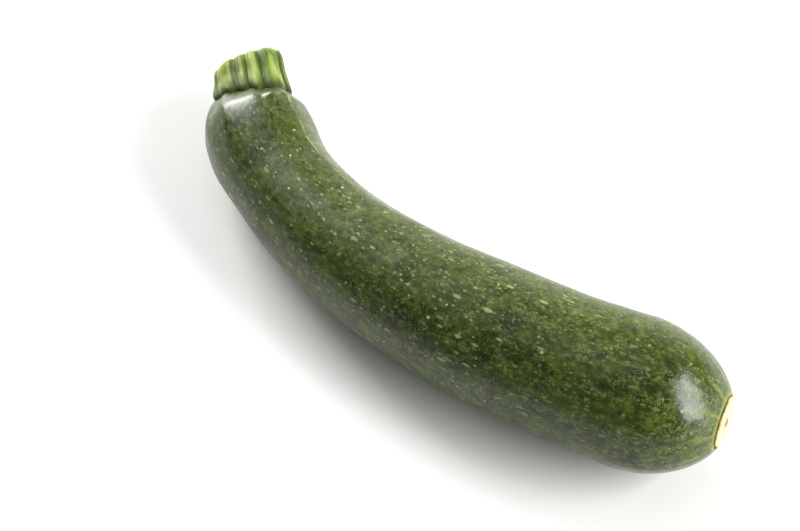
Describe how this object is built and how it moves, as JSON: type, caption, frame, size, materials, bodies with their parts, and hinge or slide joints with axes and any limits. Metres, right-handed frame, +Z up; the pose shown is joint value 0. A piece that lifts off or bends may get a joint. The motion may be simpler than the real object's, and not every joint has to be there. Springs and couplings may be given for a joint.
{
  "type": "courgette",
  "caption": "Green courgette lying on its side, gently bent, with a ribbed shoulder, a cut stalk stub and a pale corky blossom scar.",
  "frame": {"origin": "centre of the bounding box's bottom face, on the surface that the courgette lies on", "axes": "+X along the longest extent, from the stalk towards the flower end; +Y towards the inside of the bend; +Z up"},
  "size_m": [0.2114, 0.0665, 0.0469],
  "materials": {
    "fruit_skin": "gloss",
    "stalk_green": "satin",
    "scar_cork": "matte"
  },
  "bodies": {
    "root": {"fruit": "fruit_skin", "stalk": "stalk_green", "blossom_scar": "scar_cork"}
  },
  "joints": []
}
